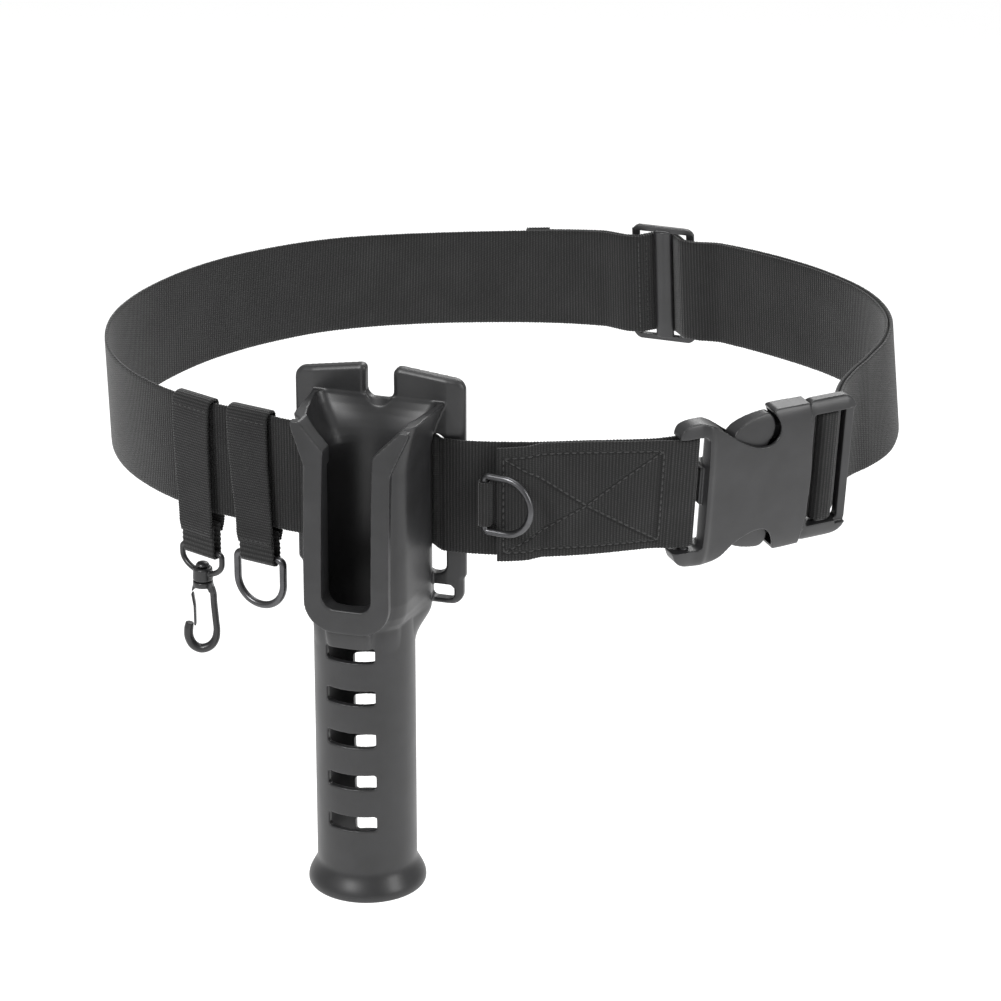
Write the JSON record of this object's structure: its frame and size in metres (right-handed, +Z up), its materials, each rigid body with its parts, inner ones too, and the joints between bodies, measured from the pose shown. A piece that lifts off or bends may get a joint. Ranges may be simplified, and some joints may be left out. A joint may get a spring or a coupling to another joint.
{
  "type": "fishing belt",
  "caption": "Webbing waist belt with a side-release buckle, a tri-glide adjuster, a rod holder cup and tube, D-rings and a swivel snap hook.",
  "frame": {"origin": "middle of the waist opening, at the belt's mid-height", "axes": "+Z up, -Y towards the wearer's front, +X towards the buckle's side"},
  "size_m": [0.3522, 0.3178, 0.2253],
  "materials": {
    "webbing": "woven, matt black",
    "hard_plastic": "moulded, semi-matt black",
    "ring_metal": "glossy black coating over steel"
  },
  "bodies": {
    "belt": {"belt_webbing": "webbing", "rod_holder": "hard_plastic", "buckle_socket": "hard_plastic", "buckle_plug": "hard_plastic", "tri_glide": "hard_plastic", "ring_tab": "webbing", "hook_loop": "webbing", "ring_loop": "webbing"},
    "belt_ring": {"belt_d_ring": "ring_metal"},
    "hanging_ring": {"hanging_d_ring": "ring_metal"},
    "eye": {"hook_eye": "hard_plastic"},
    "hook": {"snap_hook": "hard_plastic"},
    "gate": {"hook_gate": "hard_plastic"}
  },
  "joints": [
    {"name": "belt_ring_flip", "type": "hinge", "parent": "belt", "child": "belt_ring", "pos_m": [-0.00668, -0.1395, 0], "axis": [0, 0, -1], "range_deg": [0, 125]},
    {"name": "hanging_ring_swing", "type": "hinge", "parent": "belt", "child": "hanging_ring", "pos_m": [-0.10185, -0.104, -0.0392], "axis": [0.8628, -0.5056, 0], "range_deg": [-60, 60]},
    {"name": "eye_swing", "type": "hinge", "parent": "belt", "child": "eye", "pos_m": [-0.12753, -0.08851, -0.0426], "axis": [0.7816, -0.6238, 0], "range_deg": [-60, 60]},
    {"name": "hook_swivel", "type": "hinge", "parent": "eye", "child": "hook", "pos_m": [-0.12753, -0.08851, -0.054], "axis": [0, 0, 1], "continuous": true},
    {"name": "gate_press", "type": "hinge", "parent": "hook", "child": "gate", "pos_m": [-0.13221, -0.08805, -0.0632], "axis": [-0.0975, -0.9952, 0], "range_deg": [0, 22], "stiffness_Nm_per_rad": 0.003}
  ]
}
